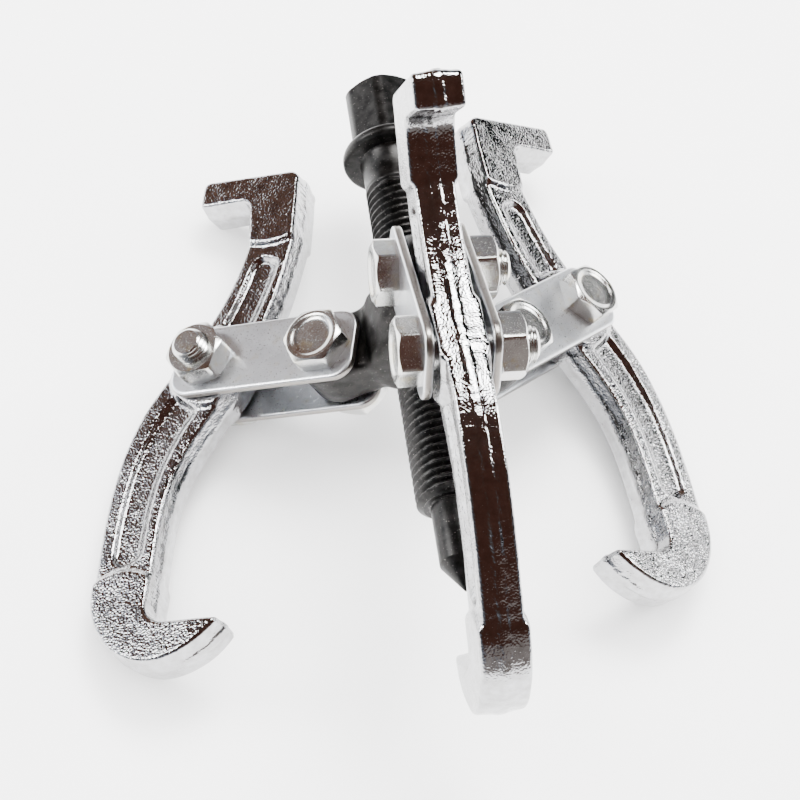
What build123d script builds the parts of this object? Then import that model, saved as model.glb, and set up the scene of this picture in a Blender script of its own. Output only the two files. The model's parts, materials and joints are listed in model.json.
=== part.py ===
from build123d import *
import math
import os

# Three-arm gear puller, in millimetres. Every piece is drawn in the puller's own frame: the
# screw runs along Z with its point at the bottom, and each arm is drawn in the XZ plane with X
# pointing away from the screw. The whole puller is then laid on its side, with the front arm up.

# forcing screw
screw_r = 7.5
screw_tip_z = -67.5
cone_height = 6.6
nose_r = 4.6
nose_top_z = -46.8
thread_chamfer = 2.2
neck_top_z = 49.8
collar_r = 11.7
collar_thickness = 3.0
head_af = 17.0
head_top_z = 71.0
head_chamfer = 2.2

# yoke
hub_r = 12.6
hub_low_z = -9.0
hub_high_z = 8.0
screw_clearance = 0.08
pivot_r = 21.5
lug_half_width = 5.7
lug_end_r = 8.0

# link straps
strap_pitch = 30.4
strap_length = 47.4
strap_width = 17.6
strap_corner = 5.0
strap_thickness = 2.0
strap_gap = 12.0

# bolts and nuts, 8 mm thread
bolt_r = 4.0
pin_clearance = 0.08
hex_af = 13.0
bolt_head_height = 5.0
nut_height = 6.0
thread_stick_out = 3.0
dish_depth = 0.7
dish_r = 4.6

# jaws: X points away from the screw, Z towards the short outward finger, zero at the jaw bolt
jaw_half = 5.3
shank_half = 4.2
channel_depth = 1.0
boss_r = 10.0
finger_top = (11.2, 56.0)
finger_bottom = (11.2, 47.8)
finger_root = (1.0, 47.5)
neck_outer = (-4.3, 35.0)
neck_inner = (-16.9, 35.0)
back_corner = (-15.9, 51.0)
outer_edge = [(-1.6, 23.7), (5.1, 8.8), (16.8, -9.3), (21.8, -27.8)]
inner_edge = [(7.2, -41.2), (4.9, -25.8), (-3.1, -10.6), (-11.5, 8.2), (-15.5, 24.7)]
hook_outer = (22.0, -53.6)
hook_bottom = (3.6, -75.0)
hook_tip = (-11.4, -65.2)
grip_root = (2.1, -65.2)
hook_inner = (6.8, -54.6)

# arms: direction around the screw, how far the links lean to the head, how far the jaw's hook
# swings outwards, how far the jaw leans sideways in its play, and the side of each bolt's head
arm_columns = ("turn", "link_lean", "jaw_lean", "jaw_tilt", "hub_head", "jaw_head")
arm_rows = {
    "front": (-90, -69.9, -37.7, 3.2, -1, -1),
    "left": (150, 15.4, 13.1, 2.7, 1, -1),
    "right": (30, 36.4, 9.2, 2.3, -1, -1),
}
arms = {name: dict(zip(arm_columns, row)) for name, row in arm_rows.items()}

# how the puller lies on a bench, resting on two hooks and two bolt heads: the screw's head end
# dips by a few degrees, and the whole puller rolls a little about the screw
lying_pitch = -5.91
lying_roll = -0.37


def ring(profile):
    """A solid of revolution about Z from (radius, z) points."""
    outline = Polyline(*[(r, 0, z) for r, z in profile], close=True)
    return revolve(make_face(outline), Axis.Z)


def hex_prism(across_flats, z_low, z_high, chamfer_low, chamfer_high, turn=0):
    """A hexagon along Z whose corners are cut by a cone at either end."""
    corner_r = across_flats / math.sqrt(3)
    flat_r = across_flats / 2
    body = Pos(0, 0, z_low) * extrude(Rot(0, 0, turn) * RegularPolygon(corner_r, 6), z_high - z_low)
    cut_r = flat_r * 0.97
    drop = (corner_r - cut_r) * math.tan(math.radians(30))
    low = z_low + (drop if chamfer_low else 0)
    high = z_high - (drop if chamfer_high else 0)
    limit = [(0, z_low), (cut_r if chamfer_low else corner_r, z_low), (corner_r, low)]
    limit += [(corner_r, high), (cut_r if chamfer_high else corner_r, z_high), (0, z_high)]
    points = [p for i, p in enumerate(limit) if i == 0 or p != limit[i - 1]]
    return body & ring(points)


def forcing_screw():
    shaft = ring([
        (0, screw_tip_z),
        (0.4, screw_tip_z + 0.3),
        (nose_r, screw_tip_z + cone_height),
        (nose_r, nose_top_z),
        (screw_r - thread_chamfer * 0.7, nose_top_z),
        (screw_r, nose_top_z + thread_chamfer),
        (screw_r, neck_top_z),
        (collar_r - 1.0, neck_top_z),
        (collar_r, neck_top_z + 1.0),
        (collar_r, neck_top_z + collar_thickness - 1.0),
        (collar_r - 1.0, neck_top_z + collar_thickness),
        (0, neck_top_z + collar_thickness),
    ])
    head = hex_prism(head_af, neck_top_z + collar_thickness, head_top_z, False, True, turn=18)
    crown = ring([
        (0, neck_top_z),
        (head_af, neck_top_z),
        (head_af, head_top_z - head_chamfer * 2),
        (head_af / 2 - head_chamfer * 0.2, head_top_z),
        (0, head_top_z),
    ])
    return shaft + (head & crown)


def yoke():
    body = Pos(0, 0, (hub_low_z + hub_high_z) / 2) * Cylinder(hub_r, hub_high_z - hub_low_z)
    body = fillet(body.edges().filter_by(GeomType.CIRCLE), 2.0)
    lug = Pos(pivot_r / 2, 0, 0) * Box(pivot_r, 2 * lug_half_width, 2 * lug_end_r)
    lug += Pos(pivot_r, 0, 0) * Rot(90, 0, 0) * Cylinder(lug_end_r, 2 * lug_half_width)
    hole = Pos(pivot_r, 0, 0) * Rot(90, 0, 0) * Cylinder(bolt_r + pin_clearance, 4 * lug_half_width)
    for arm in arms.values():
        body += Rot(0, 0, arm["turn"]) * lug
    for arm in arms.values():
        body -= Rot(0, 0, arm["turn"]) * hole
    return body - Cylinder(screw_r + screw_clearance, 4 * hub_r)


def jaw(tilt):
    """One jaw, leaning by tilt degrees sideways on its bolt, with the bore along the bolt."""
    with BuildLine(Plane.XZ) as outline:
        Polyline((back_corner[0] + 3.0, finger_bottom[1] + 6.5), finger_top, finger_bottom, finger_root)
        Polyline(finger_root, (-2.9, 43.7), neck_outer)
        Spline(neck_outer, *outer_edge, hook_outer)
        ThreePointArc(hook_outer, (17.0, -68.6), hook_bottom)
        ThreePointArc(hook_bottom, (-5.2, -72.3), (hook_tip[0] - 0.2, hook_tip[1] - 0.9))
        Polyline((hook_tip[0] - 0.2, hook_tip[1] - 0.9), hook_tip, grip_root)
        ThreePointArc(grip_root, (5.4, -63.5), (6.8, -59.5))
        Line((6.8, -59.5), hook_inner)
        Spline(hook_inner, *inner_edge, neck_inner)
        Line(neck_inner, back_corner)
        ThreePointArc(back_corner, (back_corner[0] + 0.8, finger_bottom[1] + 5.7),
                      (back_corner[0] + 3.0, finger_bottom[1] + 6.5))
    shape = make_face(outline.line)
    thick = extrude(shape, jaw_half, both=True)
    body = extrude(shape, shank_half, both=True)
    body += thick & top_pad()
    body += thick & low_pad()
    body += thick & (Rot(90, 0, 0) * Cylinder(boss_r, 4 * jaw_half))
    for side in (-1, 1):
        body -= Pos(0, side * shank_half, 0) * channels()
    return Rot(tilt, 0, 0) * body - Rot(90, 0, 0) * Cylinder(bolt_r + pin_clearance, 4 * jaw_half)


def top_pad():
    """The full-thickness stretch at the short finger, ending in a hollow step."""
    block = Pos(-8, 0, 35 + 20) * Box(60, 4 * jaw_half, 40)
    return block + Pos(-10.6, 0, 49.0) * Rot(90, 0, 0) * Cylinder(15.5, 4 * jaw_half)


def low_pad():
    """The full-thickness stretch at the hook, ending in a round step."""
    block = Pos(5, 0, -55 - 20) * Box(60, 4 * jaw_half, 40)
    return block + Pos(14.2, 0, -64.0) * Rot(90, 0, 0) * Cylinder(12.0, 4 * jaw_half)


def channels():
    """The two long grooves in a shank face, one each side of the boss."""
    upper = [(-11.7, 27.0), (-9.0, 13.0), (-1.5, 13.5), (-6.6, 28.0)]
    lower = [(1.2, -13.6), (8.0, -27.5), (11.4, -47.5), (20.0, -46.8), (19.4, -29.5), (13.5, -11.5)]
    groove = None
    for corners in (upper, lower):
        face = make_face(Plane.XZ * Polyline(*corners, close=True))
        piece = extrude(face, channel_depth, both=True)
        piece = fillet(piece.edges().filter_by(Axis.Y), 1.8)
        groove = piece if groove is None else groove + piece
    return groove


def strap():
    plate = Box(strap_length, strap_thickness, strap_width)
    plate = fillet(plate.edges().filter_by(Axis.Y), strap_corner)
    for side in (-1, 1):
        plate -= Pos(side * strap_pitch / 2, 0, 0) * Rot(90, 0, 0) * Cylinder(bolt_r, 2 * strap_thickness)
    return Pos(strap_pitch / 2, 0, 0) * plate


grip_half = strap_gap / 2 + strap_thickness


def bolt():
    """A hexagon bolt along Z with its head at the top and zero at the middle of its grip."""
    top = grip_half + bolt_head_height
    end = -(grip_half + nut_height + thread_stick_out)
    head = hex_prism(hex_af, grip_half, top, False, True)
    head -= ring([(0, top - dish_depth), (dish_r - dish_depth, top - dish_depth), (dish_r, top), (0, top)])
    shank = ring([(0, end), (bolt_r - 0.8, end), (bolt_r, end + 0.8), (bolt_r, grip_half), (0, grip_half)])
    return head + shank


def nut():
    body = hex_prism(hex_af, -grip_half - nut_height, -grip_half, True, True, turn=11)
    return body - Cylinder(bolt_r, 6 * grip_half)


def lay_down(piece):
    """Lay the puller on its side: front arm up, screw head towards +Y."""
    return Rot(lying_pitch, lying_roll, 0) * (Rot(-90, 0, 0) * piece)


def make_parts():
    parts = {"forcing_screw": forcing_screw(), "yoke": yoke()}
    one_strap = strap()
    one_bolt = bolt()
    one_nut = nut()
    for name, arm in arms.items():
        turn = Rot(0, 0, arm["turn"])
        hub_pin = turn * Pos(pivot_r, 0, 0)
        lean = hub_pin * Rot(0, -arm["link_lean"], 0)
        jaw_pin = lean * Pos(strap_pitch, 0, 0)
        jaw_place = jaw_pin * Rot(0, arm["link_lean"] - arm["jaw_lean"], 0)
        offset = (strap_gap + strap_thickness) / 2
        parts[f"jaw_{name}"] = jaw_place * jaw(arm["jaw_tilt"])
        parts[f"strap_{name}_a"] = lean * Pos(0, -offset, 0) * one_strap
        parts[f"strap_{name}_b"] = lean * Pos(0, offset, 0) * one_strap
        for pin_name, place, side in (("hub", lean, arm["hub_head"]), ("jaw", jaw_pin, arm["jaw_head"])):
            upright = place * Rot(-90 * side, 0, 0)
            parts[f"{pin_name}_bolt_{name}"] = upright * one_bolt
            parts[f"{pin_name}_nut_{name}"] = upright * one_nut
    return parts


# the origin is on the bench, under the middle of the puller's box
parts = make_parts()
laid = {name: lay_down(piece) for name, piece in parts.items()}
boxes = [piece.bounding_box() for piece in laid.values()]
middle_x = (min(box.min.X for box in boxes) + max(box.max.X for box in boxes)) / 2
middle_y = (min(box.min.Y for box in boxes) + max(box.max.Y for box in boxes)) / 2
to_origin = Pos(-middle_x, -middle_y, -min(box.min.Z for box in boxes))
os.makedirs("parts", exist_ok=True)
for name, piece in laid.items():
    export_step(to_origin * piece, f"parts/{name}.step")
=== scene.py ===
import json
import math
import bmesh
import bpy
import numpy as np
from mathutils import Matrix, Vector


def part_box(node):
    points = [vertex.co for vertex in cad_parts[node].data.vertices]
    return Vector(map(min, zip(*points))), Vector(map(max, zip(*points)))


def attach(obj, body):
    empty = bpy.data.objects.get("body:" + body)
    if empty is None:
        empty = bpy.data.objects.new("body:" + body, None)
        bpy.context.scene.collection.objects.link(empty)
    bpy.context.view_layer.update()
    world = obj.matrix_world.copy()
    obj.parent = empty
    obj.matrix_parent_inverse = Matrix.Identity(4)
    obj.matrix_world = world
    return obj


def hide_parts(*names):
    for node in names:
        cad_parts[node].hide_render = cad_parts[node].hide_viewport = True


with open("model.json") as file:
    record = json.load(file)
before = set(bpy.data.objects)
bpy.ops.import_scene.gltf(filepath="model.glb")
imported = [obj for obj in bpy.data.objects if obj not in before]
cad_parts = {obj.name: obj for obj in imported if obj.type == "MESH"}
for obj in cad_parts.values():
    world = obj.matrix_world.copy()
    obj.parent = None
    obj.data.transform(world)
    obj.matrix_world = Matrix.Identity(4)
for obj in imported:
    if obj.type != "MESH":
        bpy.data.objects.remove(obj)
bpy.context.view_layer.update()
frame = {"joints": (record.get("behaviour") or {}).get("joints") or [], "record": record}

# Lengths are in millimetres until a mesh is made. Each piece is worked out about its own
# centre and then carried to its place by an origin and three axes taken from the frame.
mm = 0.001
armNames = ("front", "left", "right")
detail = 1.0
joints = {joint["name"]: joint for joint in frame["joints"]}
mounts = {mount["name"]: mount for mount in frame["record"]["mounts"]}


def unit(vector):
    return np.asarray(vector, float) / np.linalg.norm(vector)


def jointPoint(name):
    return np.array(joints[name]["pos_m"]) / mm


def placement(origin, xAxis, yAxis, zAxis):
    # an origin and a 3 by 3 block whose rows are the piece's own x, y and z axes
    return np.asarray(origin, float), np.array([unit(xAxis), unit(yAxis), unit(zAxis)])


def pullerPlacement():
    # the hub's centre is the mean of the three hub bolts, and z runs along the screw
    centre = sum(jointPoint("link_" + arm) for arm in armNames) / len(armNames)
    along = -np.array(joints["screw_feed"]["axis"])
    across = jointPoint("link_right") - jointPoint("link_left")
    across = across - along * (across @ unit(along)) / np.linalg.norm(along)
    return placement(centre, across, np.cross(along, across), along)


def linkPlacement(arm):
    # x runs from the hub bolt to the jaw bolt, y along both bolts
    hubPin, jawPin = jointPoint("link_" + arm), jointPoint("jaw_" + arm)
    along = unit(jawPin - hubPin)
    bolt = unit(joints["jaw_" + arm]["axis"])
    return placement(hubPin, along, bolt, np.cross(along, bolt))


def jawPlacement(arm):
    # z is the way the grip face looks, x points away from the screw, y is across the jaw
    up = unit(mounts["grip_" + arm]["axis"])
    out = unit(np.cross(joints["jaw_" + arm]["axis"], up))
    return placement(jointPoint("jaw_" + arm), out, np.cross(up, out), up)


def boltPlacement(arm, pin):
    # z runs along the bolt to its head, which is on the side away from its nut
    link = linkPlacement(arm)
    centre = jointPoint(("link_" if pin == "hub" else "jaw_") + arm)
    nutLow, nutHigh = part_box(pin + "_nut_" + arm)
    nutSide = (np.array(nutLow) + np.array(nutHigh)) / 2 / mm - centre
    head = link[1][1] * -np.sign(nutSide @ link[1][1])
    return placement(centre, np.cross(head, link[1][2]), link[1][2], head)


puller = pullerPlacement()


def carried(points, place):
    return place[0] + points @ place[1]


def makePiece(name, points, faces, place, body, node, slotName, material):
    # joins doubled points, turns every face outwards, and hands the piece to its body
    mesh = bpy.data.meshes.new(name)
    mesh.from_pydata((carried(points, place) * mm).tolist(), [], faces.tolist())
    cleaner = bmesh.new()
    cleaner.from_mesh(mesh)
    bmesh.ops.remove_doubles(cleaner, verts=cleaner.verts, dist=2e-6)
    bmesh.ops.dissolve_degenerate(cleaner, edges=cleaner.edges, dist=1e-6)
    bmesh.ops.recalc_face_normals(cleaner, faces=cleaner.faces)
    cleaner.to_mesh(mesh)
    cleaner.free()
    mesh.polygons.foreach_set("use_smooth", np.ones(len(mesh.polygons), bool))
    mesh.materials.append(material)
    piece = bpy.data.objects.new(name, mesh)
    bpy.context.scene.collection.objects.link(piece)
    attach(piece, body)
    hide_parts(node)
    return piece


def sharpen(piece, degrees):
    # edges that turn by more than this angle stay crisp under smooth shading
    mesh = piece.data
    cleaner = bmesh.new()
    cleaner.from_mesh(mesh)
    limit = math.radians(degrees)
    for edge in cleaner.edges:
        edge.smooth = len(edge.link_faces) < 2 or edge.calc_face_angle(0.0) < limit
    cleaner.to_mesh(mesh)
    cleaner.free()


def gridFaces(rows, columns, wrap=True, start=0):
    # four-sided faces of a grid whose columns may close on themselves
    across = columns if wrap else columns - 1
    row, column = np.meshgrid(np.arange(rows - 1), np.arange(across), indexing="ij")
    following = (column + 1) % columns
    a, b = row * columns + column, row * columns + following
    return start + np.stack([a, b, b + columns, a + columns], -1).reshape(-1, 4)


def lathe(radius, height, angles):
    # radius (rows by angles, or rows by one) and height (rows) turned about z
    radius = np.broadcast_to(np.asarray(radius, float), (len(height), len(angles)))
    z = np.broadcast_to(np.asarray(height, float)[:, None], radius.shape)
    points = np.stack([radius * np.cos(angles), radius * np.sin(angles), z], -1)
    return points.reshape(-1, 3), gridFaces(len(height), len(angles))


def joinSurfaces(*surfaces):
    # one list of points and faces, each surface's faces counted on from the last
    points, faces, count = [], [], 0
    for piecePoints, pieceFaces in surfaces:
        points.append(piecePoints)
        faces.append(pieceFaces + count)
        count += len(piecePoints)
    return np.concatenate(points), np.concatenate(faces)


def turnedAngles(columns, turn=0.0):
    # even angles round a full turn, starting at turn degrees
    return np.arange(columns) * 2 * math.pi / columns + math.radians(turn)


def hexRadius(angles, acrossFlats, turn, cornerRound):
    # distance to the flats: half the width over the cosine of the angle from the nearest flat
    sector = (angles - math.radians(turn) + math.pi / 6) % (math.pi / 3) - math.pi / 6
    sharp = acrossFlats / 2 / np.cos(math.pi / 6 - np.abs(sector))
    return np.minimum(sharp, acrossFlats / math.sqrt(3) - cornerRound)


threadForm = {"crest": 0.14, "rounding": 0.25, "endSlope": 1.3}


def threadTube(radius, depth, pitch, low, high, runOut, columns, rowsPerTurn, taper):
    # the rows climb by one pitch in a turn, so each thread follows the grid; at both ends the
    # height is held at the end, and the depth fades over the last turns
    turns = int(math.ceil((high - low) / pitch)) + 1
    row = np.arange(-rowsPerTurn, turns * rowsPerTurn)
    column = np.arange(columns)
    rowGrid, columnGrid = np.meshgrid(row, column, indexing="ij")
    rise = pitch / rowsPerTurn
    height = np.clip(low + (rowGrid + rowsPerTurn * columnGrid / columns) * rise, low, high)
    angle = columnGrid * 2 * math.pi / columns
    phase = ((height - low) / pitch - angle / (2 * math.pi)) % 1.0
    crest, rounding = threadForm["crest"], threadForm["rounding"]
    valley = np.clip((1 - 2 * np.abs(phase - 0.5) - crest) / (1 - 2 * crest), 0, 1)
    valley = valley * (1 - rounding) + rounding * valley * valley * (3 - 2 * valley)
    fade = np.clip((high - height) / runOut, 0, 1)
    r = radius - depth * valley * fade
    cone = radius - taper + (height - low) * threadForm["endSlope"]
    r = np.minimum(r, cone + 0.05 * np.sin(3 * angle))  # a chamfered and slightly uneven end
    points = np.stack([r * np.cos(angle), r * np.sin(angle), height], -1).reshape(-1, 3)
    inner = gridFaces(len(row), columns, wrap=False)
    seam = np.arange(len(row) - rowsPerTurn - 1)
    a, b = seam * columns + columns - 1, (seam + rowsPerTurn) * columns
    seamFaces = np.stack([a, b, b + columns, a + columns], -1)
    return points, np.concatenate([inner, seamFaces])


def waviness(points, scale, seed, count=14):
    # a smooth uneven field: a sum of sine waves in random directions about one wavelength
    dice = np.random.default_rng(seed)
    field = np.zeros(len(points))
    for _ in range(count):
        direction = unit(dice.normal(size=points.shape[1]))
        length = scale * dice.uniform(0.6, 1.7)
        field += np.sin(points @ direction * 2 * math.pi / length + dice.uniform(0, 2 * math.pi))
    return field / math.sqrt(count)


def smoothCurve(knots, count):
    # a natural cubic spline through the knots, spaced evenly by length
    knots = np.asarray(knots, float)
    t = np.concatenate([[0], np.cumsum(np.linalg.norm(np.diff(knots, axis=0), axis=1))])
    n = len(knots)
    system, right = np.eye(n), np.zeros((n, 2))
    for i in range(1, n - 1):
        before, after = t[i] - t[i - 1], t[i + 1] - t[i]
        system[i, i - 1:i + 2] = before, 2 * (before + after), after
        right[i] = 6 * ((knots[i + 1] - knots[i]) / after - (knots[i] - knots[i - 1]) / before)
    bend = np.linalg.solve(system, right)
    u = np.linspace(0, t[-1], 600)
    k = np.clip(np.searchsorted(t, u, side="right") - 1, 0, n - 2)
    span, a, b = (t[k + 1] - t[k])[:, None], (t[k + 1] - u)[:, None], (u - t[k])[:, None]
    curve = (bend[k] * a ** 3 + bend[k + 1] * b ** 3) / (6 * span)
    curve += (knots[k] / span - bend[k] * span / 6) * a
    curve += (knots[k + 1] / span - bend[k + 1] * span / 6) * b
    return evenly(curve, count)


def evenly(curve, count):
    # points at even lengths along a chain of straight lines
    curve = np.asarray(curve, float)
    length = np.concatenate([[0], np.cumsum(np.linalg.norm(np.diff(curve, axis=0), axis=1))])
    at = np.linspace(0, length[-1], count)
    return np.stack([np.interp(at, length, curve[:, 0]), np.interp(at, length, curve[:, 1])], -1)


def threePointArc(first, middle, last, count):
    # the circle through three points, walked from first to last through middle
    (ax, ay), (bx, by), (cx, cy) = first, middle, last
    d = 2 * (ax * (by - cy) + bx * (cy - ay) + cx * (ay - by))
    sa, sb, sc = ax * ax + ay * ay, bx * bx + by * by, cx * cx + cy * cy
    centre = np.array([
        (sa * (by - cy) + sb * (cy - ay) + sc * (ay - by)) / d,
        (sa * (cx - bx) + sb * (ax - cx) + sc * (bx - ax)) / d,
    ])
    radius = math.dist(first, centre)
    start, mid, end = (math.atan2(p[1] - centre[1], p[0] - centre[0]) for p in (first, middle, last))
    sweep, half = (end - start) % (2 * math.pi), (mid - start) % (2 * math.pi)
    if half > sweep:
        sweep -= 2 * math.pi
    turn = start + np.linspace(0, 1, count) * sweep
    return centre + radius * np.stack([np.cos(turn), np.sin(turn)], -1)


def polygonDistance(points, corners):
    # distance to a closed polygon, negative inside
    corners = np.asarray(corners, float)
    best = np.full(len(points), np.inf)
    inside = np.zeros(len(points), bool)
    for a, b in zip(corners, np.roll(corners, -1, axis=0)):
        edge = b - a
        share = np.clip((points - a) @ edge / (edge @ edge + 1e-12), 0, 1)
        best = np.minimum(best, np.hypot(*(points - a - share[:, None] * edge).T))
        crosses = (a[1] > points[:, 1]) != (b[1] > points[:, 1])
        if b[1] != a[1]:
            reach = a[0] + (points[:, 1] - a[1]) * (b[0] - a[0]) / (b[1] - a[1])
            inside ^= crosses & (points[:, 0] < reach)
    return np.where(inside, -best, best)


def curveDistance(points, curve):
    # distance to the nearest stretch of an open curve
    best = np.full(len(points), np.inf)
    for a, b in zip(curve[:-1], curve[1:]):
        edge = b - a
        share = np.clip((points - a) @ edge / (edge @ edge + 1e-12), 0, 1)
        best = np.minimum(best, np.hypot(*(points - a - share[:, None] * edge).T))
    return best


def roundedMeet(a, b, radius):
    # the larger of two distances, with its corner rounded: a region bounded by both
    corner = np.hypot(np.maximum(a + radius, 0), np.maximum(b + radius, 0)) - radius
    return np.where((a > -radius) & (b > -radius), corner, np.maximum(a, b))


def fadeStep(distance, width):
    # 1 inside, 0 outside, with a smooth slope as wide as width just outside the line
    t = np.clip(1 - distance / width, 0, 1)
    return t * t * (3 - 2 * t)


jawShape = {
    "padHalf": 5.28,  # half thickness at the hook, the finger and the boss
    "shankHalf": 4.25,  # half thickness between them
    "channelDepth": 1.25,
    "outerMargin": 0.325,  # share of the width from the outer edge to a channel's floor
    "innerMargin": 0.36,
    "outerWall": 1.4,  # how far each side of a channel slopes
    "innerWall": 3.0,
    "channelRound": 2.6,
    "channelEnds": (29.0, -49.6),
    "fingerStep": (-10.6, 49.0, 15.0, 35.5),  # the pad's round end: centre, radius, where it starts
    "hookStep": (14.2, -64.0, 11.6, -56.0),
    "stepWidth": 1.7,  # how far the step up to a pad slopes
    "rimHeight": 0.12,  # how far the rims stand up beside a channel
    "edgeRound": 0.95,
    "edgeDrop": 0.8,  # how much of a full quarter circle the rounded edge takes
    "flashHalf": 1.05,  # half width of the trimmed flash band along the edge
    "flashHeight": 0.16,
    "draft": 0.62,  # how far the walls lean out to the flash band
    "tipTaper": 0.45,  # how much thinner the hook's tip is on each side
    "tipStart": -6.0,
    "tipLength": 5.4,
    "unevenness": 0.026,
    "spacing": 0.36,
    "boreRadius": 4.08,
    "bossRadius": 10.0,
}


def jawOutline():
    # matched stretches of the outer and the inner edge, from the finger's top to the hook's tip
    stretches = [
        (evenly([(9.4, 55.6), (10.6, 55.3), (11.0, 54.2), (11.0, 48.0)], 200),
         threePointArc((-12.9, 54.1), (-15.2, 53.2), (-15.8, 50.6), 200)),
        (evenly([(11.0, 48.0), (-0.2, 47.6)], 200), evenly([(-15.8, 50.6), (-16.1, 46.8)], 200)),
        (threePointArc((-0.2, 47.6), (-2.5, 46.5), (-3.5, 44.2), 200),
         evenly([(-16.1, 46.8), (-16.3, 43.2)], 200)),
        (evenly([(-3.5, 44.2), (-4.5, 35.0)], 200), evenly([(-16.3, 43.2), (-16.7, 35.0)], 200)),
        (smoothCurve([(-4.5, 35), (-1.8, 23.7), (4.9, 8.8), (16.6, -9.3), (21.6, -27.8),
                      (21.8, -53.6)], 500),
         smoothCurve([(-16.7, 35), (-15.3, 24.7), (-11.3, 8.2), (-2.9, -10.6), (5.1, -25.8),
                      (7.4, -41.2), (7.0, -54.6)], 500)),
        (threePointArc((21.8, -53.6), (20.9, -61.5), (16.8, -68.4), 200),
         evenly([(7.0, -54.6), (7.0, -59.5)], 200)),
        (threePointArc((16.8, -68.4), (11.1, -73.0), (3.6, -74.8), 200),
         threePointArc((7.0, -59.5), (5.5, -63.6), (2.1, -65.4), 200)),
        (threePointArc((3.6, -74.8), (-5.1, -72.1), (-11.5, -66.3), 300),
         evenly([(2.1, -65.4), (-11.3, -65.4)], 300)),
    ]
    outer, inner = [], []
    for number, (one, other) in enumerate(stretches):
        longest = max(np.linalg.norm(np.diff(side, axis=0), axis=1).sum() for side in (one, other))
        count = max(6, int(longest / jawShape["spacing"] * detail))
        first = 0 if number == 0 else 1
        outer.append(evenly(one, count)[first:])
        inner.append(evenly(other, count)[first:])
    return softened(np.concatenate(outer)), softened(np.concatenate(inner))


def softened(curve, passes=6):
    # rounds the corners of an edge by averaging neighbours, with its two ends held
    for _ in range(int(passes / detail)):
        curve[1:-1] = (curve[:-2] + 2 * curve[1:-1] + curve[2:]) / 4
    return curve


def jawHalfThickness(flat, edgeDistance, outerDistance, innerDistance):
    # pads, boss and shank are levels with smooth slopes between; the channels are cut into the
    # shank, and the face rolls over near the edge by a part of a quarter circle
    s = jawShape
    x, z = flat.T
    fingerX, fingerZ, fingerRadius, fingerStart = s["fingerStep"]
    hookX, hookZ, hookRadius, hookStart = s["hookStep"]
    finger = np.minimum(fingerStart - z, np.hypot(x - fingerX, z - fingerZ) - fingerRadius)
    hook = np.minimum(z - hookStart, np.hypot(x - hookX, z - hookZ) - hookRadius)
    boss = np.hypot(x, z) - s["bossRadius"]
    pad = np.maximum.reduce([fadeStep(d, s["stepWidth"]) for d in (finger, hook, boss)])
    width = outerDistance + innerDistance
    outerSide = s["outerMargin"] * width - outerDistance
    innerSide = (s["innerMargin"] * width - innerDistance) * s["outerWall"] / s["innerWall"]
    ends = np.maximum(z - s["channelEnds"][0], s["channelEnds"][1] - z)
    channel = roundedMeet(np.maximum(outerSide, innerSide), ends, s["channelRound"])
    channel = roundedMeet(channel, 1.2 - boss, 1.5)
    cut = fadeStep(channel, s["outerWall"])
    half = s["shankHalf"] + (s["padHalf"] - s["shankHalf"]) * pad
    half = half - s["channelDepth"] * cut * (1 - pad)
    half += s["rimHeight"] * fadeStep(-edgeDistance + 1.6, 2.0) * (1 - cut) * (1 - pad)
    d = np.clip(edgeDistance, 0, s["edgeRound"])
    roll = s["edgeRound"] - np.sqrt(s["edgeRound"] ** 2 - (s["edgeRound"] - d) ** 2)
    tip = np.clip((s["tipStart"] - x) / s["tipLength"], 0, 1) * (z < s["hookStep"][3])
    return half - roll * s["edgeDrop"] - s["tipTaper"] * tip * tip


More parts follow.
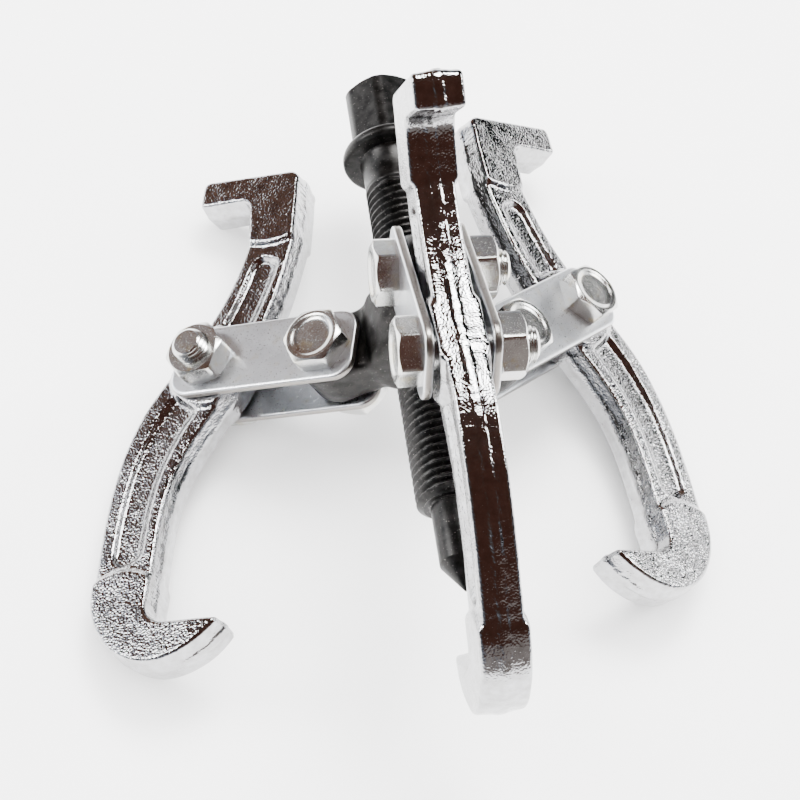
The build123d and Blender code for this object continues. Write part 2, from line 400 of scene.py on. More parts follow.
def jawSurface(seed):
    # two faces on one grid between the outer and the inner edge, and a wall carried round the
    # whole outline, drafted to a flash band at mid thickness
    s = jawShape
    outer, inner = jawOutline()
    rows, columns = len(outer), int(58 * detail)
    share = np.linspace(0, 1, columns)
    share = 0.45 * share + 0.55 * share * share * (3 - 2 * share)
    flat = outer[:, None] + (inner - outer)[:, None] * share[:, None]
    flat = flat.reshape(-1, 2)
    index = np.arange(rows * columns).reshape(rows, columns)
    rim = np.concatenate([index[0, :-1], index[:-1, -1], index[-1, :0:-1], index[:0:-1, 0]])
    outline = flat[rim]
    edgeDistance = -polygonDistance(flat, outline)
    edgeDistance[rim] = 0
    outerDistance, innerDistance = curveDistance(flat, outer[::3]), curveDistance(flat, inner[::3])
    half = jawHalfThickness(flat, edgeDistance, outerDistance, innerDistance)
    tangent = np.roll(outline, -2, axis=0) - np.roll(outline, 2, axis=0)
    normal = np.stack([tangent[:, 1], -tangent[:, 0]], -1)
    normal /= np.linalg.norm(normal, axis=1)[:, None] + 1e-9
    following = np.roll(outline, -1, axis=0)
    if np.sum(outline[:, 0] * following[:, 1] - outline[:, 1] * following[:, 0]) < 0:
        normal = -normal  # the outline runs clockwise
    points = []
    for side in (1, -1):
        wave = s["unevenness"] * waviness(flat, 5.0, seed + side) * np.clip(edgeDistance, 0, 1)
        points.append(np.stack([flat[:, 0], side * (half + wave), flat[:, 1]], -1))
    grid = gridFaces(rows, columns, wrap=False)
    faces = [grid, grid + rows * columns]
    top = half[rim]
    f = s["flashHalf"]
    levels = [top * 0.86, top * 0.66, np.full_like(top, f + 0.5), np.full_like(top, f + 0.25),
              np.full_like(top, f), np.full_like(top, f - 0.25), np.full_like(top, f * 0.4)]
    levels += [-level for level in reversed(levels)]
    ringPoints = []
    along = np.arange(len(top)) * s["spacing"] / detail
    ridge = 0.55 + 0.45 * waviness(np.stack([along, along], -1), 14.0, seed + 3)
    for level in levels:
        height = np.abs(level)
        out = s["draft"] * (1 - height / top) - 0.12 * (1 - (height / top) ** 4)
        out = out + s["flashHeight"] * np.clip(ridge, 0.1, 1.3) * fadeStep(height - f + 0.3, 0.6)
        out = out + 0.04 * waviness(np.stack([along, level * 2.0], -1), 3.0, seed + 7)
        at = outline + normal * out[:, None]
        ringPoints.append(np.stack([at[:, 0], level, at[:, 1]], -1))
    points += ringPoints
    base = 2 * rows * columns
    rings = [rim] + [base + k * len(rim) + np.arange(len(rim)) for k in range(len(levels))]
    rings.append(rim + rows * columns)
    for one, other in zip(rings[:-1], rings[1:]):
        faces.append(np.stack([one, np.roll(one, -1), np.roll(other, -1), other], -1))
    return np.concatenate(points), np.concatenate(faces)


def cutBore(piece, place, radius, length):
    # the bore is cut by a plain cylinder along the bolt
    angles = turnedAngles(96)
    height = np.array([-length, -length, length, length])
    points, faces = lathe(np.array([[0.0], [radius], [radius], [0.0]]), height, angles)
    tool = bpy.data.meshes.new("boreTool")
    tool.from_pydata((carried(points, place) * mm).tolist(), [], faces.tolist())
    cleaner = bmesh.new()
    cleaner.from_mesh(tool)
    bmesh.ops.remove_doubles(cleaner, verts=cleaner.verts, dist=2e-6)
    bmesh.ops.dissolve_degenerate(cleaner, edges=cleaner.edges, dist=1e-6)
    bmesh.ops.recalc_face_normals(cleaner, faces=cleaner.faces)
    cleaner.to_mesh(tool)
    cleaner.free()
    cutter = bpy.data.objects.new("boreTool", tool)
    bpy.context.scene.collection.objects.link(cutter)
    cut = piece.modifiers.new("bore", "BOOLEAN")
    cut.object, cut.operation, cut.solver = cutter, "DIFFERENCE", "EXACT"
    bpy.context.view_layer.update()
    finished = bpy.data.meshes.new_from_object(piece.evaluated_get(bpy.context.evaluated_depsgraph_get()))
    piece.modifiers.clear()
    piece.data = finished
    bpy.data.objects.remove(cutter)


def surfaceNet(field, low, step):
    # one point in each cell that the surface crosses, at the mean of its crossings, and one
    # face for each grid edge that it crosses
    cells = np.array(field.shape) - 1
    total, weight = np.zeros((*cells, 3)), np.zeros(cells)
    crossings = []
    for axis in range(3):
        near = field.take(range(field.shape[axis] - 1), axis)
        far = field.take(range(1, field.shape[axis]), axis)
        at = np.argwhere((near < 0) != (far < 0))
        inner = np.all([(at[:, k] > 0) & (at[:, k] < cells[k]) for k in range(3) if k != axis], axis=0)
        at = at[inner]
        a, b = near[tuple(at.T)], far[tuple(at.T)]
        where = at.astype(float)
        where[:, axis] += a / (a - b)
        others = [k for k in range(3) if k != axis]
        corners = []
        for shift in ((0, 0), (1, 0), (1, 1), (0, 1)):
            cell = at.copy()
            cell[:, others[0]] -= shift[0]
            cell[:, others[1]] -= shift[1]
            np.add.at(total, tuple(cell.T), where)
            np.add.at(weight, tuple(cell.T), 1)
            corners.append(cell)
        crossings.append(corners)
    used = weight > 0
    number = np.full(cells, -1)
    number[used] = np.arange(used.sum())
    points = total[used] / weight[used][:, None] * step + low
    faces = [np.stack([number[tuple(cell.T)] for cell in corners], -1) for corners in crossings]
    return points, np.concatenate(faces)


def sampled(field, low, high, step):
    # the surface where a distance field, worked out on an even grid, crosses zero
    axes = [np.arange(a, b + step, step) for a, b in zip(low, high)]
    x, y, z = np.meshgrid(*axes, indexing="ij")
    return surfaceNet(field(x, y, z), np.array(low, float), step)


def roundedUnion(a, b, radius):
    # the smaller of two distances, with a fillet where they meet
    blend = np.clip(0.5 + 0.5 * (b - a) / radius, 0, 1)
    return b + (a - b) * blend - radius * blend * (1 - blend)


def roundedSlab(a, b, radius):
    # a solid bounded by two distances, with its edge rounded and its inside kept negative
    across, along = a + radius, b + radius
    outside = np.hypot(np.maximum(across, 0), np.maximum(along, 0))
    return outside + np.minimum(np.maximum(across, along), 0) - radius


yokeShape = {
    "hubRadius": 12.6,
    "hubLow": -9.0,
    "hubHigh": 8.0,
    "edgeRound": 1.6,
    "lugHalf": 5.7,
    "lugEnd": 8.0,
    "boltRadius": 4.08,
    "boreRadius": 7.58,
    "lugRound": 1.2,
    "blend": 1.6,  # fillet between hub and lug
    "unevenness": 0.05,
    "step": 0.42,
    "turns": (-90, 150, 30),
}


def yokeField(x, y, z):
    # a rounded hub with three rounded lugs melted into it, less its bores
    s = yokeShape
    middle, half = (s["hubLow"] + s["hubHigh"]) / 2, (s["hubHigh"] - s["hubLow"]) / 2
    r = np.hypot(x, y)
    body = roundedSlab(r - s["hubRadius"], np.abs(z - middle) - half, s["edgeRound"])
    pivot = np.linalg.norm((jointPoint("link_left") - puller[0]))
    holes = s["boreRadius"] - r
    for turn in s["turns"]:
        c, n = math.cos(math.radians(turn)), math.sin(math.radians(turn))
        u, v = x * c + y * n, -x * n + y * c
        outward = np.maximum(u - pivot, 0)
        plate = np.where(u > 0, np.hypot(outward, z) - s["lugEnd"], 9.0)
        side = np.abs(v) - s["lugHalf"]
        lug = roundedSlab(plate, side, s["lugRound"])
        body = roundedUnion(body, lug, s["blend"])
        holes = np.maximum(holes, s["boltRadius"] - np.hypot(u - pivot, z))
    points = np.stack([x.ravel(), y.ravel(), z.ravel()], -1)
    body = body + s["unevenness"] * waviness(points, 4.5, 11).reshape(x.shape)
    return np.maximum(body, holes)


strapShape = {"length": 47.4, "width": 17.6, "corner": 5.0, "thickness": 2.0, "edgeRound": 0.62,
              "holeRadius": 4.02, "step": 0.3}


def strapField(x, y, z):
    # a plate with rounded corners and rolled edges, less its two holes
    s = strapShape
    pitch = np.linalg.norm(jointPoint("jaw_left") - jointPoint("link_left"))
    acrossX = np.abs(x - pitch / 2) - s["length"] / 2
    acrossZ = np.abs(z) - s["width"] / 2
    flat = roundedSlab(acrossX, acrossZ, s["corner"])
    plate = roundedSlab(flat, np.abs(y) - s["thickness"] / 2, s["edgeRound"])
    holes = s["holeRadius"] - np.minimum(np.hypot(x, z), np.hypot(x - pitch, z))
    return np.maximum(plate, holes)


boltShape = {
    "radius": 4.0,
    "grip": 8.0,  # half the length between head and nut
    "acrossFlats": 13.0,
    "headHeight": 5.0,
    "nutHeight": 6.0,
    "stickOut": 3.0,  # how far the thread stands out of the nut
    "threadDepth": 0.62,
    "pitch": 1.25,
    "endChamfer": 0.95,
    "dishRadius": 4.9,
    "faceRadius": 5.4,  # inner edge of the face under the head
    "nutFace": 5.2,
    "headTurn": 0.0,
    "nutTurn": 11.0,
    "cornerRound": 0.12,
    "columns": 96,
}


hexChamfer = {"slope": 30.0, "circle": 0.95}  # degrees, and the flat circle's share of the width


def hexBlock(acrossFlats, turn, low, high, chamferLow, chamferHigh, angles, cornerRound):
    # rows up the side of a hexagon, each cut to the chamfer cone's radius at its height
    cornerRadius = acrossFlats / math.sqrt(3)
    circle = acrossFlats / 2 * hexChamfer["circle"]
    slope = math.tan(math.radians(hexChamfer["slope"]))
    drop = (cornerRadius - circle) * slope
    height = np.concatenate([low + np.linspace(0, drop, 9),
                             np.linspace(low + drop, high - drop, 5)[1:-1],
                             high - np.linspace(drop, 0, 9)])
    cone = np.full(len(height), cornerRadius)
    if chamferLow:
        cone = np.minimum(cone, circle + (height - low) / slope)
    if chamferHigh:
        cone = np.minimum(cone, circle + (high - height) / slope)
    radius = np.minimum(hexRadius(angles, acrossFlats, turn, cornerRound)[None, :], cone[:, None])
    return radius, height


def stackRows(angles, *blocks):
    # lathes several (radius, height) blocks as one surface, from the first row to the last
    radii, heights = [], []
    for radius, height in blocks:
        radius = np.asarray(radius, float)
        if radius.ndim < 2:
            radius = radius.reshape(-1, 1)
        radii.append(np.broadcast_to(radius, (len(height), len(angles))))
        heights.append(np.asarray(height, float))
    return lathe(np.concatenate(radii), np.concatenate(heights), angles)


def boltSurface():
    # a chamfered hexagon with a dished top, a plain shank, and a thread up to a flat end
    s = boltShape
    angles = turnedAngles(s["columns"], s["headTurn"])
    grip, top = s["grip"], s["grip"] + s["headHeight"]
    end = -(grip + s["nutHeight"] + s["stickOut"])
    side = hexBlock(s["acrossFlats"], s["headTurn"], grip, top, False, True, angles, s["cornerRound"])
    d = s["dishRadius"]
    dish = ([d + 0.75, d + 0.45, d + 0.1, d - 0.35, d - 0.7, d - 1.2, 2.2, 0.9, 0.0],
            top - np.array([0, 0.03, 0.22, 0.46, 0.53, 0.55, 0.52, 0.5, 0.5]))
    head = stackRows(angles, ([s["radius"], s["faceRadius"]], [grip, grip]), side, dish)
    threadTop = -grip - 1.0
    shank = stackRows(angles, ([s["radius"]] * 2, [grip, threadTop]))
    thread, threadFaces = threadTube(s["radius"] - 0.02, s["threadDepth"], s["pitch"], 0.0,
                                     threadTop - end, 0.6, s["columns"], 12, s["endChamfer"])
    thread[:, 2] += end
    r = s["radius"] - s["endChamfer"] - 0.02
    cap = stackRows(angles, ([r, r * 0.97, 0.0], [end, end, end - 0.12]))
    return joinSurfaces(head, shank, (thread, threadFaces), cap)


def nutSurface():
    # a hexagon chamfered at both ends, whose last row joins its first through the bore
    s = boltShape
    angles = turnedAngles(s["columns"], s["nutTurn"])
    low, high = -s["grip"] - s["nutHeight"], -s["grip"]
    side = hexBlock(s["acrossFlats"], s["nutTurn"], low, high, True, True, angles, s["cornerRound"])
    bore = s["radius"] - 0.25
    top = ([s["nutFace"], bore + 0.55, bore], [high, high, high - 0.5])
    bottom = ([bore, bore + 0.55, s["nutFace"]], [low + 0.5, low, low])
    points, faces = stackRows(angles, bottom, side, top)
    first = np.arange(len(angles))
    last = len(points) - len(angles) + first
    closing = np.stack([last, np.roll(last, -1), np.roll(first, -1), first], -1)
    return points, np.concatenate([faces, closing])


screwShape = {
    "tip": -67.5,
    "coneHeight": 6.6,
    "noseRadius": 4.6,
    "noseTop": -46.8,
    "threadRadius": 7.5,
    "threadDepth": 0.95,
    "pitch": 2.0,
    "runOut": 3.0,  # where the thread fades out below the neck
    "endChamfer": 1.5,
    "threadEnd": 41.0,
    "neckRadius": 7.35,
    "collarLow": 49.8,
    "collarHigh": 52.8,
    "collarRadius": 11.7,
    "headAcross": 17.0,
    "headTop": 71.0,
    "headTurn": 18.0,
    "columns": 72,
}


def screwSurface():
    # a turned nose, a thread, a turned neck and rounded collar, and a chamfered hexagon
    s = screwShape
    plain = turnedAngles(s["columns"])
    tip, cone, noseTop, n = s["tip"], s["tip"] + s["coneHeight"], s["noseTop"], s["noseRadius"]
    radius, threadEnd = s["threadRadius"], s["threadEnd"]
    nose = ([0.0, 0.28, 0.5, n - 0.25, n - 0.06, n, n, n + 0.25, radius - s["endChamfer"]],
            [tip, tip + 0.06, tip + 0.4, cone - 0.3, cone - 0.06, cone + 0.2,
             noseTop - 0.35, noseTop - 0.06, noseTop])
    thread, threadFaces = threadTube(radius, s["threadDepth"], s["pitch"], 0.0, threadEnd - noseTop,
                                     s["runOut"], s["columns"], int(12 * detail) + 2, s["endChamfer"])
    thread[:, 2] += noseTop
    low, high, r = s["collarLow"], s["collarHigh"], s["collarRadius"]
    neck = ([radius, s["neckRadius"], s["neckRadius"], s["neckRadius"] + 0.5, 8.4],
            [threadEnd, threadEnd + 0.8, low - 0.9, low - 0.12, low])
    collar = ([r - 1.25, r - 0.6, r - 0.18, r, r, r - 0.2, r - 0.6, r - 1.3],
              [low, low + 0.16, low + 0.55, low + 1.1, high - 1.1, high - 0.5, high - 0.14, high])
    upper = stackRows(plain, neck, collar, ([8.0], [high]))
    angles = turnedAngles(96, s["headTurn"])
    base, top = high - 0.4, s["headTop"]
    side = hexBlock(s["headAcross"], s["headTurn"], base, top - 0.1, False, True, angles, 0.55)
    flatTop = ([7.2, 6.6, 4.0, 0.0], [top - 0.02, top, top, top])
    head = stackRows(angles, ([0.0], [base]), side, flatTop)
    return joinSurfaces(stackRows(plain, nose), (thread, threadFaces), upper, head)


def nodeTree(name):
    material = bpy.data.materials.new(name)
    material.use_nodes = True
    nodes, links = material.node_tree.nodes, material.node_tree.links
    shader = nodes["Principled BSDF"]
    place = nodes.new("ShaderNodeTexCoord").outputs["Object"]

    def add(kind, **values):
        node = nodes.new(kind)
        for key, value in values.items():
            if key in node.inputs:
                if isinstance(value, bpy.types.NodeSocket):
                    links.new(value, node.inputs[key])
                else:
                    node.inputs[key].default_value = value
            else:
                setattr(node, key, value)
        return node

    return material, shader, place, add, links


def noise(add, place, scale, detailLevel=4.0, roughness=0.55):
    # scale is in features to a millimetre
    node = add("ShaderNodeTexNoise", Scale=scale / mm, Detail=detailLevel, Roughness=roughness)
    node.id_data.links.new(place, node.inputs["Vector"])
    return node.outputs["Fac"]


def ramp(add, value, low, high, first=(0, 0, 0, 1), last=(1, 1, 1, 1)):
    node = add("ShaderNodeValToRGB", Fac=value)
    node.color_ramp.elements[0].position, node.color_ramp.elements[1].position = low, high
    node.color_ramp.elements[0].color, node.color_ramp.elements[1].color = first, last
    return node.outputs["Color"]


def bumpChain(add, heights):
    # each bump stands on the one before it: (height, strength, depth in millimetres)
    normal = None
    for height, strength, depth in heights:
        bump = add("ShaderNodeBump", Height=height, Strength=strength, Distance=depth * mm)
        if normal is not None:
            bump.id_data.links.new(normal, bump.inputs["Normal"])
        normal = bump.outputs["Normal"]
    return normal


def edgeWear(add, width):
    # where a bevelled normal leaves the true one, the surface is an edge
    bevel = add("ShaderNodeBevel", Radius=width * mm, samples=4)
    geometry = add("ShaderNodeNewGeometry")
    dot = add("ShaderNodeVectorMath", operation="DOT_PRODUCT")
    dot.id_data.links.new(bevel.outputs["Normal"], dot.inputs[0])
    dot.id_data.links.new(geometry.outputs["Normal"], dot.inputs[1])
    return dot.outputs["Value"]


def product(add, a, b):
    node = add("ShaderNodeMath", operation="MULTIPLY")
    node.id_data.links.new(a, node.inputs[0])
    node.id_data.links.new(b, node.inputs[1])
    return node.outputs[0]


def blended(add, factor, first, last):
    # first where the factor is 0 and last where it is 1; each is a socket or a colour
    mix = add("ShaderNodeMix", data_type="RGBA")
    links = mix.id_data.links
    links.new(factor, mix.inputs["Factor"])
    for value, socket in ((first, mix.inputs[6]), (last, mix.inputs[7])):
        if isinstance(value, bpy.types.NodeSocket):
            links.new(value, socket)
        else:
            socket.default_value = (*value, 1)
    return mix.outputs[2]


def grey(value):
    return (value, value, value, 1)


# grain is in features to a millimetre, and depths are in millimetres
jawFinish = {
    "grain": 2.2,
    "fineGrain": 5.0,
    "grainDepth": 0.15,
    "pitDepth": 0.02,
    "calmest": 0.7,  # the grain's least strength, in patches
    "wallGrain": 0.6,  # the grain's strength on the walls, beside 1 on the faces
    "dull": (0.34, 0.335, 0.335, 1),
    "bright": (0.50, 0.505, 0.52, 1),
    "roughness": (0.05, 0.14),
}


def jawChrome():
    # bright chrome over a shot-blasted forging: a pebbled grain on the faces, which is weaker on
    # the walls, with finer pits between
    f = jawFinish
    material, shader, place, add, links = nodeTree("jawChrome")
    fine = noise(add, place, f["fineGrain"], 2.0, 0.5)
    strength = ramp(add, noise(add, place, 0.10, 2.0), 0.34, 0.6, grey(f["calmest"]), grey(1))
    face = add("ShaderNodeAttribute", attribute_name="faceShare")
    pebbles = product(add, noise(add, place, f["grain"], 0.6, 0.4), strength)
    pebbles = product(add, pebbles, face.outputs["Fac"])
    normal = bumpChain(add, [(pebbles, 1.0, f["grainDepth"]), (fine, 0.6, f["pitDepth"])])
    links.new(normal, shader.inputs["Normal"])
    colour = ramp(add, noise(add, place, 0.5, 3.0), 0.3, 0.75, f["dull"], f["bright"])
    links.new(colour, shader.inputs["Base Color"])
    smooth, rough = f["roughness"]
    links.new(ramp(add, fine, 0.3, 0.75, grey(smooth), grey(rough)), shader.inputs["Roughness"])
    shader.inputs["Metallic"].default_value = 1.0
    return material


oxideFinish = {
    "screw": {"dark": (0.020, 0.0195, 0.0195, 1), "light": (0.040, 0.039, 0.038, 1),
              "roughness": (0.28, 0.46), "grainDepth": 0.02},
    "yoke": {"dark": (0.014, 0.0135, 0.013, 1), "light": (0.032, 0.030, 0.029, 1),
             "roughness": (0.34, 0.52), "grainDepth": 0.05},
    "edgeWidth": 0.35,
    "rubbed": (0.16, 0.155, 0.15),
    "speck": (0.20, 0.19, 0.18),
}


def blackOxide(piece):
    # blackened steel: a near-black skin, rubbed a little brighter at its edges, with bare specks
    f = oxideFinish[piece]
    material, shader, place, add, links = nodeTree(piece + "Oxide")
    skin = noise(add, place, 0.45, 5.0, 0.6)
    grain = noise(add, place, 3.2, 3.0)
    edge = ramp(add, edgeWear(add, oxideFinish["edgeWidth"]), 0.90, 0.985, grey(1), grey(0))
    worn = product(add, edge, ramp(add, noise(add, place, 0.9, 4.0), 0.42, 0.62))
    colour = blended(add, worn, ramp(add, skin, 0.35, 0.7, f["dark"], f["light"]), oxideFinish["rubbed"])
    speck = ramp(add, noise(add, place, 2.4, 2.0), 0.68, 0.73)
    colour = blended(add, speck, colour, oxideFinish["speck"])
    links.new(colour, shader.inputs["Base Color"])
    smooth, rough = f["roughness"]
    links.new(ramp(add, skin, 0.3, 0.7, grey(smooth), grey(rough)), shader.inputs["Roughness"])
    normal = bumpChain(add, [(grain, 0.6, f["grainDepth"]), (skin, 0.4, f["grainDepth"] * 2)])
    links.new(normal, shader.inputs["Normal"])
    shader.inputs["Metallic"].default_value = 1.0
    return material


zincFinish = {
    "strap": {"dark": (0.66, 0.68, 0.71, 1), "light": (0.80, 0.82, 0.85, 1), "roughness": (0.26, 0.38),
              "stain": (0.70, 0.69, 0.66), "edgeWallTone": (0.27, 0.25, 0.23)},
    "bolt": {"dark": (0.50, 0.50, 0.49, 1), "light": (0.72, 0.72, 0.70, 1), "roughness": (0.17, 0.28),
             "stain": (0.62, 0.56, 0.42), "edgeWallTone": None},
    "grainDepth": 0.02,
    "cloudDepth": 0.2,
}


def zincPlate(piece):
    # satin zinc: a cloudy grey plate, stained in patches, with fine rolled grain, and a strap's
    # edge walls and hole walls coloured a darker tone, chosen by which way each point faces
    f = zincFinish[piece]
    material, shader, place, add, links = nodeTree(piece + "Zinc")
    cloud = noise(add, place, 0.16, 4.0, 0.6)
    fine = noise(add, place, 2.6, 3.0)
    stain = ramp(add, noise(add, place, 0.3, 3.0), 0.55, 0.75)
    colour = blended(add, stain, ramp(add, cloud, 0.3, 0.7, f["dark"], f["light"]), f["stain"])
    # where faceShare falls to 0, on a strap's edge walls and hole walls, the colour is this darker tone
    if f["edgeWallTone"]:
        face = add("ShaderNodeAttribute", attribute_name="faceShare")
        colour = blended(add, face.outputs["Fac"], f["edgeWallTone"], colour)
    links.new(colour, shader.inputs["Base Color"])
    smooth, rough = f["roughness"]
    links.new(ramp(add, fine, 0.3, 0.7, grey(smooth), grey(rough)), shader.inputs["Roughness"])
    depths = [(fine, 0.5, zincFinish["grainDepth"]), (cloud, 0.3, zincFinish["cloudDepth"])]
    links.new(bumpChain(add, depths), shader.inputs["Normal"])
    shader.inputs["Metallic"].default_value = 1.0
    return material


materials = {"jaw": jawChrome(), "screw": blackOxide("screw"), "yoke": blackOxide("yoke"),
             "strap": zincPlate("strap"), "bolt": zincPlate("bolt")}
print("finishes made")


def markFaces(piece, place, least):
    # how much each point looks along the piece's y: 1 on its two faces, least on its walls
    mesh = piece.data
    normals = np.zeros(len(mesh.vertices) * 3)
    mesh.vertices.foreach_get("normal", normals)
    share = np.clip((np.abs(normals.reshape(-1, 3) @ place[1][1]) - 0.35) / 0.5, least, 1)
    mesh.attributes.new("faceShare", "FLOAT", "POINT").data.foreach_set("value", share.astype(np.float32))


def makeJaws():
    for number, arm in enumerate(armNames):
        points, faces = jawSurface(20 + 10 * number)
        place = jawPlacement(arm)
        jaw = makePiece("jawForging_" + arm, points, faces, place, "jaw_" + arm, "jaw_" + arm,
                        "jaw_chrome", materials["jaw"])
        link = linkPlacement(arm)
        along = placement(place[0], link[1][0], link[1][2], link[1][1])
        cutBore(jaw, along, jawShape["boreRadius"], 12.0)
        markFaces(jaw, place, jawFinish["wallGrain"])
    print("jaws made")


def makeLinks():
    strap = sampled(strapField, (-10, -1.6, -10), (41, 1.6, 10), strapShape["step"] / detail)
    bolt, nut = boltSurface(), nutSurface()
    for arm in armNames:
        origin, axes = linkPlacement(arm)
        for letter in ("a", "b"):
            node = f"strap_{arm}_{letter}"
            low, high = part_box(node)
            middle = (np.array(low) + np.array(high)) / 2 / mm
            offset = (middle - origin) @ axes[1]
            place = (origin + axes[1] * offset, axes)
            piece = makePiece("linkStrap_" + arm + "_" + letter, *strap, place, "link_" + arm, node,
                              "strap_zinc", materials["strap"])
            # faceShare is 0 on the strap's walls, which the zinc finish colours darker
            markFaces(piece, place, 0.0)
        for pin in ("hub", "jaw"):
            place = boltPlacement(arm, pin)
            piece = makePiece(f"{pin}HexBolt_{arm}", *bolt, place, "link_" + arm, f"{pin}_bolt_{arm}",
                              "bolt_zinc", materials["bolt"])
            sharpen(piece, 24)
            piece = makePiece(f"{pin}HexNut_{arm}", *nut, place, "link_" + arm, f"{pin}_nut_{arm}",
                              "bolt_zinc", materials["bolt"])
            sharpen(piece, 24)
    print("links, bolts and nuts made")


def makeYoke():
    shape = sampled(yokeField, (-32, -32, -11), (32, 32, 10), yokeShape["step"] / detail)
    makePiece("yokeForging", *shape, puller, "yoke", "yoke", "yoke_steel", materials["yoke"])
    print("yoke made")


def makeScrew():
    piece = makePiece("forcingScrew", *screwSurface(), puller, "screw", "forcing_screw",
                      "screw_steel", materials["screw"])
    sharpen(piece, 38)
    print("screw made")


makeJaws()
makeLinks()
makeYoke()
makeScrew()

floorLook = {"half": 1.6, "dark": (0.93, 0.93, 0.93, 1), "light": (0.95, 0.95, 0.95, 1), "roughness": 0.7}


def makeFloor():
    h = floorLook["half"]
    mesh = bpy.data.meshes.new("benchTop")
    mesh.from_pydata([(-h, -h, 0), (h, -h, 0), (h, h, 0), (-h, h, 0)], [], [(0, 1, 2, 3)])
    floor = bpy.data.objects.new("benchTop", mesh)
    bpy.context.scene.collection.objects.link(floor)
    material, shader, place, add, links = nodeTree("benchPaper")
    colour = ramp(add, noise(add, place, 0.02, 3.0), 0.3, 0.7, floorLook["dark"], floorLook["light"])
    links.new(colour, shader.inputs["Base Color"])
    shader.inputs["Roughness"].default_value = floorLook["roughness"]
    mesh.materials.append(material)


cameraView = {"azimuth": 18.45, "elevation": 60.58, "roll": 13.02, "distance": 445.2,
              "aim": (-5.56, -13.36, -8.14), "lens": 88.6}


def makeCamera():
    # the view runs down at elevation, turned from +Y towards +X by azimuth, then rolled
    v = cameraView
    a, e, r = (math.radians(v[key]) for key in ("azimuth", "elevation", "roll"))
    forward = np.array([math.sin(a) * math.cos(e), math.cos(a) * math.cos(e), -math.sin(e)])
    level = unit(np.cross(forward, (0, 0, 1)))
    right = level * math.cos(r) + np.cross(level, forward) * math.sin(r)
    up = np.cross(right, forward)
    aim = puller[0] + np.array(v["aim"])
    place = (aim - forward * v["distance"]) * mm
    data = bpy.data.cameras.new("viewCamera")
    data.lens, data.sensor_width = v["lens"], 36
    data.clip_start, data.clip_end = 0.01, 20
    camera = bpy.data.objects.new("viewCamera", data)
    bpy.context.scene.collection.objects.link(camera)
    camera.matrix_world = Matrix([[right[0], up[0], -forward[0], place[0]],
                                  [right[1], up[1], -forward[1], place[1]],
                                  [right[2], up[2], -forward[2], place[2]], [0, 0, 0, 1]])
    bpy.context.scene.camera = camera


def areaLight(name, azimuth, elevation, distance, size, power, mirrored):
    # a softbox round the hub, seen in the plating only when it is mirrored
    a, e = math.radians(azimuth), math.radians(elevation)
    outward = Vector((math.sin(a) * math.cos(e), math.cos(a) * math.cos(e), math.sin(e)))
    data = bpy.data.lights.new(name, "AREA")
    data.shape, data.size, data.size_y, data.energy = "RECTANGLE", size[0], size[1], power
    light = bpy.data.objects.new(name, data)
    bpy.context.scene.collection.objects.link(light)
    light.location = outward * distance
    light.rotation_euler = (-outward).to_track_quat("-Z", "Y").to_euler()
    light.visible_glossy = mirrored
    return light


# azimuth is from +Y towards +X and elevation above the bench, in degrees
softboxes = {
    "backOverhead": (20, 64, 1.0, (0.42, 0.34), 16, True),
    "rightSide": (78, 34, 1.1, (0.36, 0.40), 10, True),
    "leftSide": (-76, 32, 1.1, (0.36, 0.40), 10, True),
    "fill": (0, 88, 1.6, (3.0, 3.0), 220, False),
}

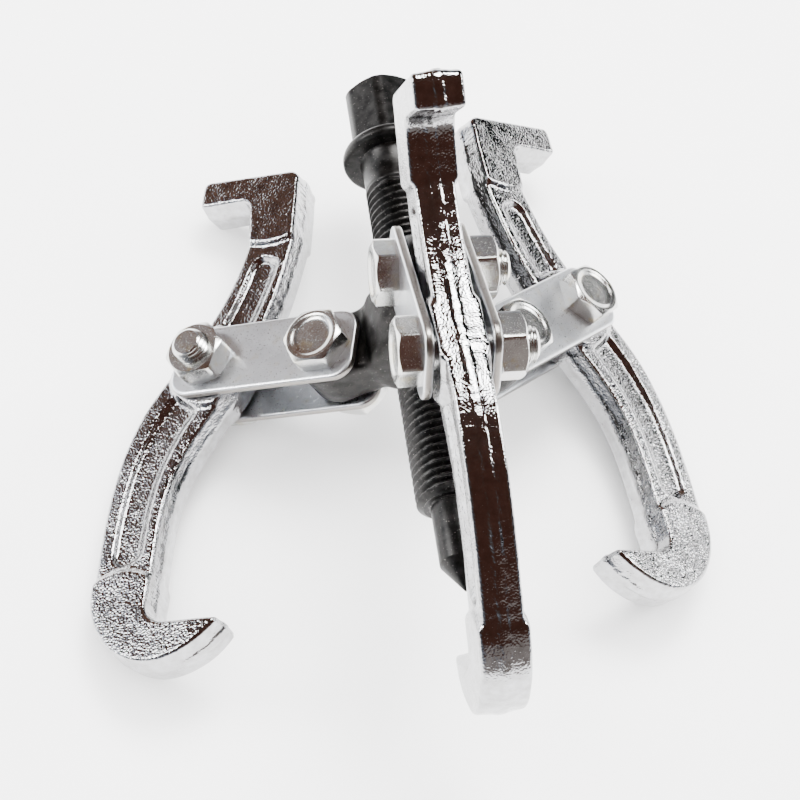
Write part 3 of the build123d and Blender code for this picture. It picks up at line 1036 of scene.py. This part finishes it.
# each patch of the room: azimuth, elevation, radius and soft edge in degrees, then its colour
roomLook = {
    "strength": 1.0,
    "bands": ((0.0, (1.2, 1.2, 1.2, 1)), (0.06, (0.95, 0.98, 1.05, 1)), (0.30, (0.26, 0.28, 0.33, 1)),
              (0.60, (0.12, 0.10, 0.095, 1)), (0.80, (0.10, 0.050, 0.038, 1))),
    "patches": (
        (-22, 24, 21, 12, (0.20, 0.11, 0.08, 1)),
        (46, 18, 20, 9, (0.015, 0.015, 0.017, 1)),
        (160, 50, 26, 14, (0.10, 0.042, 0.030, 1)),
        (160, 10, 20, 12, (0.45, 0.40, 0.38, 1)),
        (-66, 12, 7, 6, (1.6, 1.75, 2.0, 1)),
        (-88, 16, 9, 5, (0.03, 0.03, 0.03, 1)),
        (-44, 42, 8, 6, (0.03, 0.03, 0.035, 1)),
        (74, 8, 9, 6, (1.7, 1.7, 1.7, 1)),
        (98, 16, 9, 5, (0.03, 0.03, 0.03, 1)),
        (60, 34, 8, 6, (0.03, 0.03, 0.03, 1)),
    ),
}


def makeLight():
    # the room that the plating mirrors: a white horizon under a dark brown ceiling, with dark
    # patches in it, and softboxes for the light itself
    for name, values in softboxes.items():
        areaLight(name, *values)
    world = bpy.data.worlds.new("studio")
    bpy.context.scene.world = world
    world.use_nodes = True
    nodes, links = world.node_tree.nodes, world.node_tree.links
    background = nodes["Background"]
    direction = nodes.new("ShaderNodeTexCoord").outputs["Generated"]
    split = nodes.new("ShaderNodeSeparateXYZ")
    links.new(direction, split.inputs[0])
    height = nodes.new("ShaderNodeValToRGB")
    links.new(split.outputs["Z"], height.inputs["Fac"])
    stops = height.color_ramp.elements
    for number, (level, colour) in enumerate(roomLook["bands"]):
        stop = stops[number] if number < 2 else stops.new(level)
        stop.position, stop.color = level, colour
    colour = height.outputs["Color"]
    for azimuth, elevation, radius, soft, patchColour in roomLook["patches"]:
        a, e = math.radians(azimuth), math.radians(elevation)
        near = nodes.new("ShaderNodeVectorMath")
        near.operation = "DOT_PRODUCT"
        links.new(direction, near.inputs[0])
        near.inputs[1].default_value = (math.sin(a) * math.cos(e), math.cos(a) * math.cos(e), math.sin(e))
        edge = nodes.new("ShaderNodeMapRange")
        edge.interpolation_type = "SMOOTHSTEP"
        links.new(near.outputs["Value"], edge.inputs["Value"])
        edge.inputs["From Min"].default_value = math.cos(math.radians(radius + soft))
        edge.inputs["From Max"].default_value = math.cos(math.radians(radius))
        mix = nodes.new("ShaderNodeMix")
        mix.data_type = "RGBA"
        links.new(edge.outputs["Result"], mix.inputs["Factor"])
        links.new(colour, mix.inputs[6])
        mix.inputs[7].default_value = patchColour
        colour = mix.outputs[2]
    links.new(colour, background.inputs["Color"])
    background.inputs["Strength"].default_value = roomLook["strength"]


makeFloor()
makeCamera()
makeLight()
print("stage, camera and lights made")
